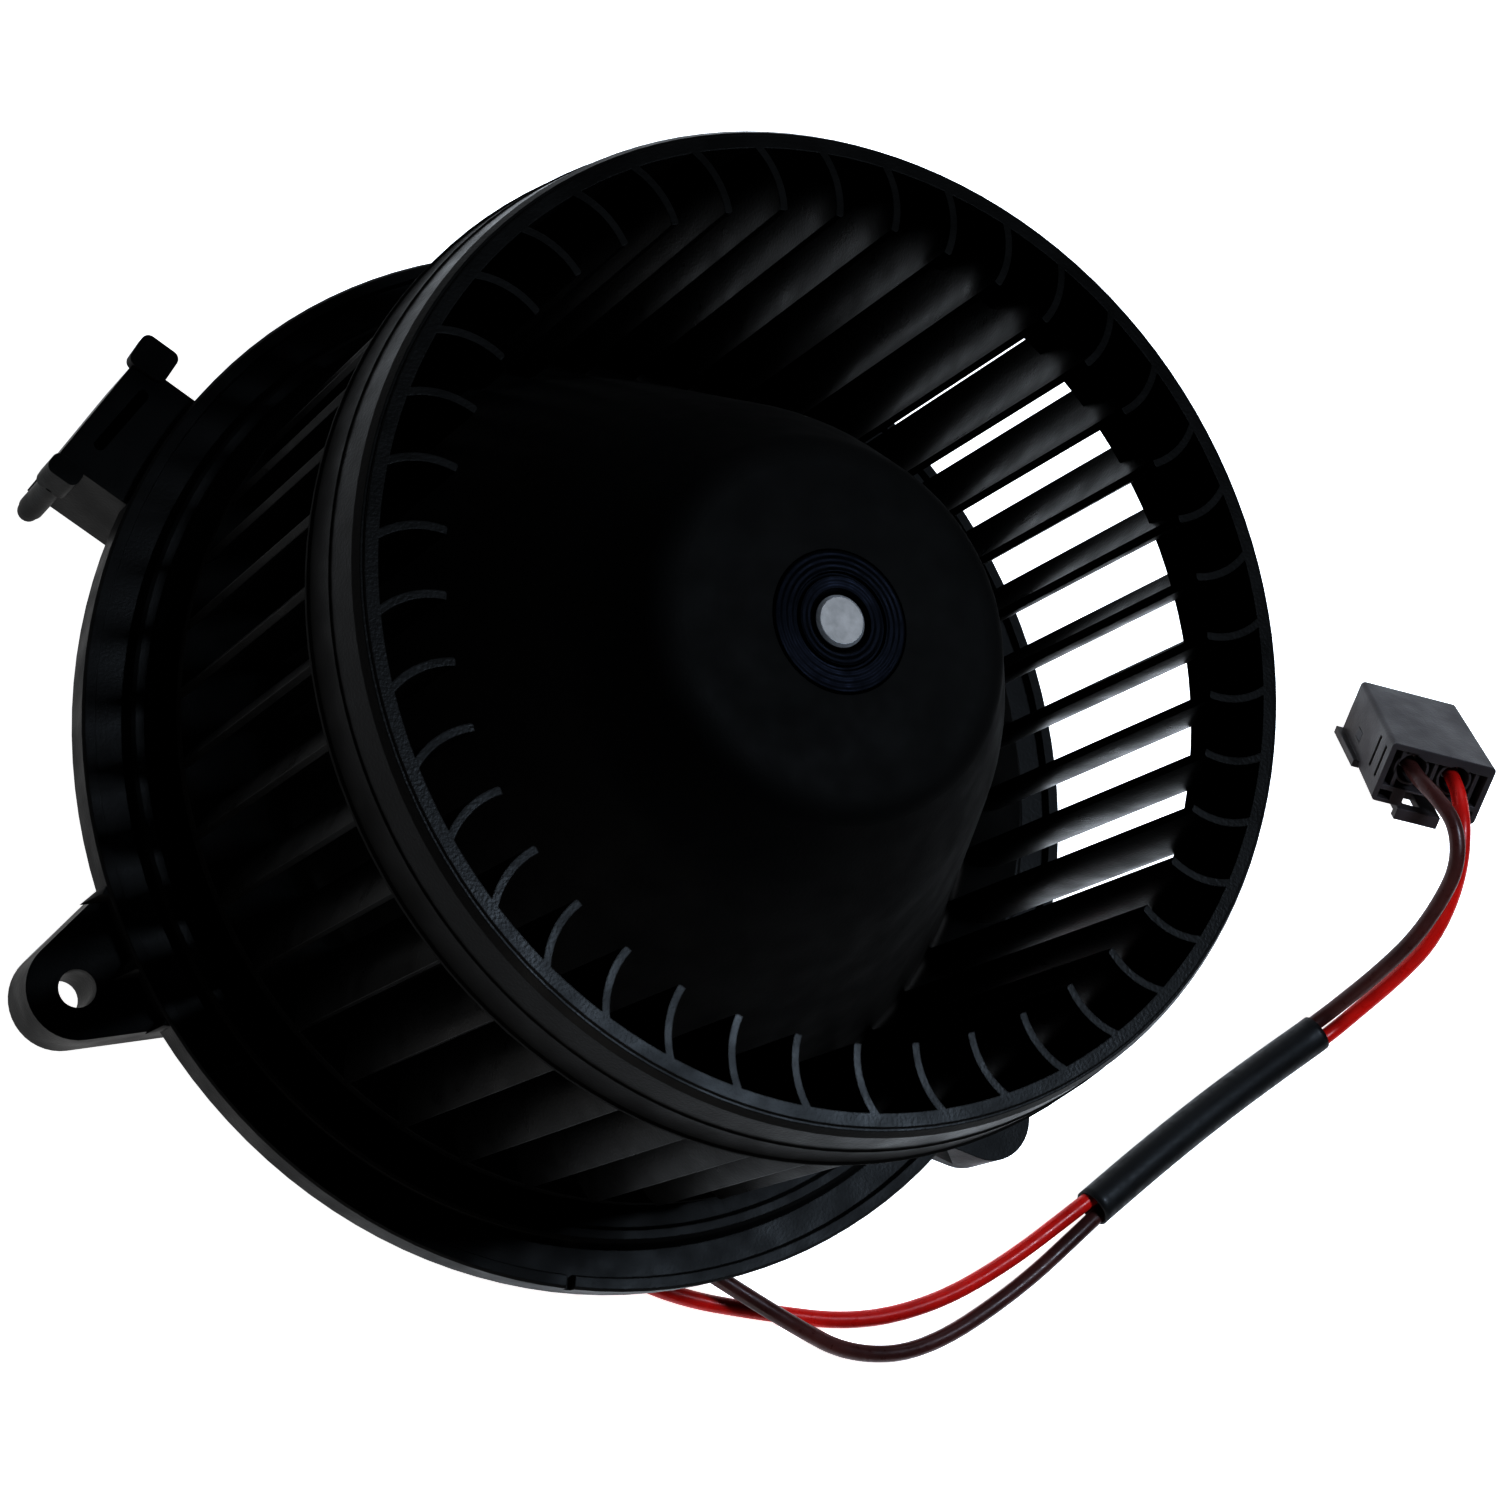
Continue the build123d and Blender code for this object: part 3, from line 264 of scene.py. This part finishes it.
NODE_FINISH = {
    "fan_wheel": "wheel_plastic", "mounting_flange": "flange_plastic",
    "motor_cover": "cover_plastic", "hub_bush": "hub_black_oxide", "motor_shaft": SHAFT_STEEL,
    "armature_core": "core_steel", "armature_windings": "winding_copper",
    "commutator": "commutator_copper", "thrust_washers": "washer_nylon",
    "motor_can": "can_zinc", "end_cap": "plate_zinc", "field_magnets": "ferrite",
    "front_bearing": "sintered_bronze", "rear_bearing": "sintered_bronze",
    "bearing_retainer": "spring_steel", "brush_plate": "board_phenolic",
    "brush_holders": "holder_brass", "carbon_brushes": "brush_carbon",
    "brush_springs": "spring_steel", "terminal_board": "board_phenolic",
    "suppression_chokes": "choke_copper", "suppression_capacitor": "capacitor_epoxy",
    "cover_screws": "screw_zinc", "lead_grommet": "grommet_rubber",
    "front_isolator": "grommet_rubber", "rear_isolator": "grommet_rubber",
    "connector_housing": "connector_plastic", "terminal_lock": "lock_plastic",
    "lead_terminals": "terminal_tin",
}


class Finish:
    """A node-built material, with short calls for the nodes its pattern needs."""

    def __init__(self, name, colour, roughness, metallic=0.0):
        self.material = bpy.data.materials.new(name)
        self.material.use_nodes = True
        self.nodes = self.material.node_tree.nodes
        self.links = self.material.node_tree.links
        self.shader = self.nodes["Principled BSDF"]
        self.shader.inputs["Base Color"].default_value = (*colour, 1.0)
        self.shader.inputs["Roughness"].default_value = roughness
        self.shader.inputs["Metallic"].default_value = metallic
        self.height = None

    def node(self, kind, **values):
        made = self.nodes.new(kind)
        for key, value in values.items():
            if hasattr(made, key):
                setattr(made, key, value)
            else:
                made.inputs[key.replace("_", " ").title()].default_value = value
        return made

    def coordinates(self, stretch=EVEN):
        place = self.node("ShaderNodeTexCoord")
        scale = self.node("ShaderNodeMapping")
        scale.inputs["Scale"].default_value = stretch
        self.links.new(place.outputs["Object"], scale.inputs["Vector"])
        return scale.outputs["Vector"]

    def noise(self, scale, detail, stretch=EVEN):
        made = self.node("ShaderNodeTexNoise", scale=scale, detail=detail)
        self.links.new(self.coordinates(stretch), made.inputs["Vector"])
        return made.outputs["Fac"]

    def spread(self, value, low, high, to_low, to_high):
        made = self.node("ShaderNodeMapRange")
        for key, number in (("From Min", low), ("From Max", high), ("To Min", to_low),
                            ("To Max", to_high)):
            made.inputs[key].default_value = number
        self.links.new(value, made.inputs["Value"])
        return made.outputs["Result"]

    def colours(self, value, first, second):
        made = self.node("ShaderNodeMix", data_type="RGBA")
        made.inputs["A"].default_value = (*first, 1.0)
        made.inputs["B"].default_value = (*second, 1.0)
        self.links.new(value, made.inputs["Factor"])
        return made.outputs["Result"]

    def shade(self, value, low, high, first, second):
        """Colour that goes from first where the value is low to second where it is high."""
        return self.colours(self.spread(value, low, high, 0.0, 1.0), first, second)

    def set(self, socket, value):
        self.links.new(value, self.shader.inputs[socket])

    def bump(self, height, strength, distance):
        made = self.node("ShaderNodeBump")
        made.inputs["Strength"].default_value = strength
        made.inputs["Distance"].default_value = distance
        self.links.new(height, made.inputs["Height"])
        if self.height is not None:
            self.links.new(self.height, made.inputs["Normal"])
        self.height = made.outputs["Normal"]
        self.links.new(self.height, self.shader.inputs["Normal"])


def paint(node, finish):
    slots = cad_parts[node].data.materials
    slots.clear()
    slots.append(finish.material)


def soften(finish, radius):
    """Round the sharp edges in the shading, as a moulding tool's own radius does."""
    edge = finish.node("ShaderNodeBevel", samples=4)
    edge.inputs["Radius"].default_value = radius
    finish.height = edge.outputs["Normal"]
    return finish


def moulded(name, dark, light, roughness, grain=0.18, edge=0.00025, shine=0.14):
    """Moulded surface: fine pitting, slow flow marks and slightly uneven gloss."""
    finish = soften(Finish(name, dark, roughness), edge)
    flow = finish.noise(scale=28.0, detail=4.0, stretch=(1.0, 1.0, 0.35))
    finish.set("Base Color", finish.shade(flow, 0.35, 0.7, dark, light))
    gloss = finish.noise(scale=160.0, detail=2.0)
    finish.set("Roughness", finish.spread(gloss, NOISE_LOW, NOISE_HIGH,
                                          roughness - 0.06, roughness + 0.08))
    finish.shader.inputs["Specular IOR Level"].default_value = shine
    pitting = finish.noise(scale=1900.0, detail=2.0)
    finish.bump(pitting, strength=grain, distance=0.0002)
    waviness = finish.noise(scale=60.0, detail=1.0)
    finish.bump(waviness, strength=0.10, distance=0.0006)
    return finish


def rougher_by_radius(finish, low, high, inner, outer):
    """Adds roughness by distance from the shaft, from inner below low to outer above high."""
    flat = finish.node("ShaderNodeVectorMath", operation="LENGTH")
    finish.links.new(finish.coordinates(stretch=(1.0, 1.0, 0.0)), flat.inputs[0])
    extra = finish.spread(flat.outputs["Value"], low, high, inner, outer)
    total = finish.node("ShaderNodeMath", operation="ADD")
    finish.links.new(finish.shader.inputs["Roughness"].links[0].from_socket, total.inputs[0])
    finish.links.new(extra, total.inputs[1])
    finish.set("Roughness", total.outputs["Value"])


def bare_metal(name, dark, light, roughness, stretch=EVEN, scale=420.0, depth=0.12):
    """Worked metal: streaks along its working direction, with stains and uneven polish."""
    finish = soften(Finish(name, light, roughness, metallic=1.0), METAL_EDGE)
    streak = finish.noise(scale, detail=3.0, stretch=stretch)
    stain = finish.noise(scale=70.0, detail=4.0)
    finish.set("Base Color", finish.shade(stain, 0.35, 0.65, dark, light))
    finish.set("Roughness", finish.spread(streak, NOISE_LOW, NOISE_HIGH,
                                          roughness - 0.1, roughness + 0.12))
    finish.bump(streak, strength=depth, distance=0.0001)
    return finish


def wave_lines(finish, pitch):
    """A wave texture that repeats once each pitch, in metres."""
    wave = finish.node("ShaderNodeTexWave")
    wave.inputs["Scale"].default_value = math.tau / WAVE_RATE / pitch
    finish.links.new(finish.coordinates(), wave.inputs["Vector"])
    return wave


def turned_rings(finish, pitch, strength, distance):
    """Fine concentric tool marks about the shaft."""
    wave = wave_lines(finish, pitch)
    wave.wave_type = "RINGS"
    wave.rings_direction = "Z"
    wave.inputs["Distortion"].default_value = 0.6
    wave.inputs["Detail Scale"].default_value = 2.0
    finish.bump(wave.outputs["Fac"], strength, distance)


def stacked_lines(finish, pitch, strength, distance):
    """Fine even lines square to the shaft, as a stack of stamped sheets shows."""
    wave = wave_lines(finish, pitch)
    wave.bands_direction = "Z"
    finish.bump(wave.outputs["Fac"], strength, distance)


def insulation(name, dark, light, roughness):
    """Extruded vinyl: nearly smooth, with slow waves, a little dust and fine drawn lines."""
    finish = Finish(name, light, roughness)
    tint = finish.noise(scale=90.0, detail=3.0)
    finish.set("Base Color", finish.shade(tint, NOISE_LOW, NOISE_HIGH, dark, light))
    dust = finish.noise(scale=700.0, detail=4.0)
    finish.set("Roughness", finish.spread(dust, 0.35, 0.75, roughness - 0.05, roughness + 0.2))
    finish.bump(finish.noise(scale=240.0, detail=2.0), strength=0.12, distance=0.0003)
    finish.bump(finish.noise(scale=2600.0, detail=1.0), strength=0.06, distance=0.0001)
    finish.shader.inputs["Specular IOR Level"].default_value = VINYL_SHINE
    return finish


def shaft_end(name):
    """Ground steel; its end face is sawn and sanded to a pale, even grey."""
    finish = soften(Finish(name, (0.55, 0.55, 0.56), 0.3, metallic=1.0), METAL_EDGE)
    grit = finish.noise(scale=2400.0, detail=4.0)
    cloud = finish.noise(scale=500.0, detail=3.0)
    pale = finish.shade(cloud, NOISE_LOW, NOISE_HIGH, (0.22, 0.20, 0.185), (0.31, 0.28, 0.26))
    ground = finish.shade(grit, NOISE_LOW, NOISE_HIGH, (0.45, 0.45, 0.46), (0.60, 0.60, 0.61))
    surface = finish.node("ShaderNodeNewGeometry")
    facing = finish.node("ShaderNodeSeparateXYZ")
    finish.links.new(surface.outputs["Normal"], facing.inputs["Vector"])
    is_end = finish.spread(facing.outputs["Z"], 0.6, 0.9, 0.0, 1.0)
    mix = finish.node("ShaderNodeMix", data_type="RGBA")
    finish.links.new(is_end, mix.inputs["Factor"])
    finish.links.new(ground, mix.inputs["A"])
    finish.links.new(pale, mix.inputs["B"])
    finish.set("Base Color", mix.outputs["Result"])
    # Each of these goes from the ground side's value to the end face's.
    finish.set("Metallic", finish.spread(is_end, 0.0, 1.0, 1.0, 0.1))
    finish.set("Roughness", finish.spread(is_end, 0.0, 1.0, 0.28, 0.62))
    finish.bump(grit, strength=0.35, distance=0.0001)
    return finish


def make_materials(red, dark, sleeve):
    finishes = {name: moulded(name, **look) for name, look in MOULDED.items()}
    # The dome and the outside band are textured; the blades and the ring's edge are smooth.
    wheel = finishes["wheel_plastic"]
    rougher_by_radius(wheel, **DOME_EDGE, inner=DOME_ROUGHER, outer=0.0)
    rougher_by_radius(wheel, **BAND_EDGE, inner=0.0, outer=BAND_ROUGHER)
    for name, look in METALS.items():
        finishes[name] = bare_metal(name, **look)
    for name, lines in TURNED.items():
        turned_rings(finishes[name], **lines)
    for name, lines in STACKED.items():
        stacked_lines(finishes[name], **lines)
    finishes[SHAFT_STEEL] = shaft_end(SHAFT_STEEL)
    for node, name in NODE_FINISH.items():
        paint(node, finishes[name])
    for piece, name in ((red, "red_insulation"), (dark, "dark_insulation"),
                        (sleeve, "sleeve_vinyl")):
        piece.data.materials.append(insulation(name, **VINYL[name]).material)


# ---- stage --------------------------------------------------------------------------
FLOOR_HALF = 12.0  # wide enough that a low view doesn't see past its edge
FLOOR_Z = -0.0002  # just under the faces that stand on it
FLOOR_COLOUR = (0.85, 0.85, 0.85)
FLOOR_GLOW = 1.0
WHITE = (1.0, 1.0, 1.0)
WORLD_STRENGTH = 0.025
DISPLAY_GAMMA = 0.70

LIGHTS = {
    # Picks out the blade tips and the front ring's lower edge with a bluish light.
    "cool_front": {"at": (0.235, 0.03, 0.65), "towards": (-0.019, -0.07, 0.121),
                   "size": (0.14, 0.14), "power": 5.0, "colour": (0.72, 0.85, 1.0)},
    "cool_top": {"at": (0.45, 1.20, 0.50), "towards": (0.0, -0.02, 0.08),
                 "size": (0.8, 0.4), "power": 2.5, "colour": (0.80, 0.90, 1.0)},
    # Low strip under the picture's lower edge, for the blades at the lower left.
    "warm_low": {"at": (-0.30, -1.1, 0.06), "towards": (0.0, 0.0, 0.03),
                 "size": (0.9, 0.12), "power": 3.0, "colour": (1.0, 0.96, 0.90)},
}


def make_stage():
    half = FLOOR_HALF
    corners = [(-half, -half), (half, -half), (half, half), (-half, half)]
    mesh = bpy.data.meshes.new("floor")
    mesh.from_pydata([(x, y, FLOOR_Z) for x, y in corners], [], [(0, 1, 2, 3)])
    floor = bpy.data.objects.new("floor", mesh)
    scene.collection.objects.link(floor)
    finish = Finish("floor_white", FLOOR_COLOUR, roughness=0.9)
    finish.shader.inputs["Emission Color"].default_value = (*WHITE, 1.0)
    finish.shader.inputs["Emission Strength"].default_value = FLOOR_GLOW
    finish.shader.inputs["Specular IOR Level"].default_value = 0.0
    mesh.materials.append(finish.material)


def area_light(name, at, towards, size, power, colour):
    data = bpy.data.lights.new(name, "AREA")
    data.shape = "RECTANGLE"
    data.size, data.size_y = size
    data.energy = power
    data.color = colour
    lamp = bpy.data.objects.new(name, data)
    lamp.location = at
    lamp.rotation_mode = "QUATERNION"
    lamp.rotation_quaternion = (Vector(towards) - Vector(at)).to_track_quat("-Z", "Y")
    scene.collection.objects.link(lamp)


def make_lights():
    world = bpy.data.worlds.new("studio")
    world.use_nodes = True
    background = world.node_tree.nodes["Background"]
    background.inputs["Color"].default_value = (*WHITE, 1.0)
    background.inputs["Strength"].default_value = WORLD_STRENGTH
    scene.world = world
    for name, light in LIGHTS.items():
        area_light(name, **light)
    scene.view_settings.view_transform = "Standard"
    scene.view_settings.gamma = DISPLAY_GAMMA


make_camera()
lead_pieces = make_leads()
make_materials(*lead_pieces)
make_stage()
make_lights()
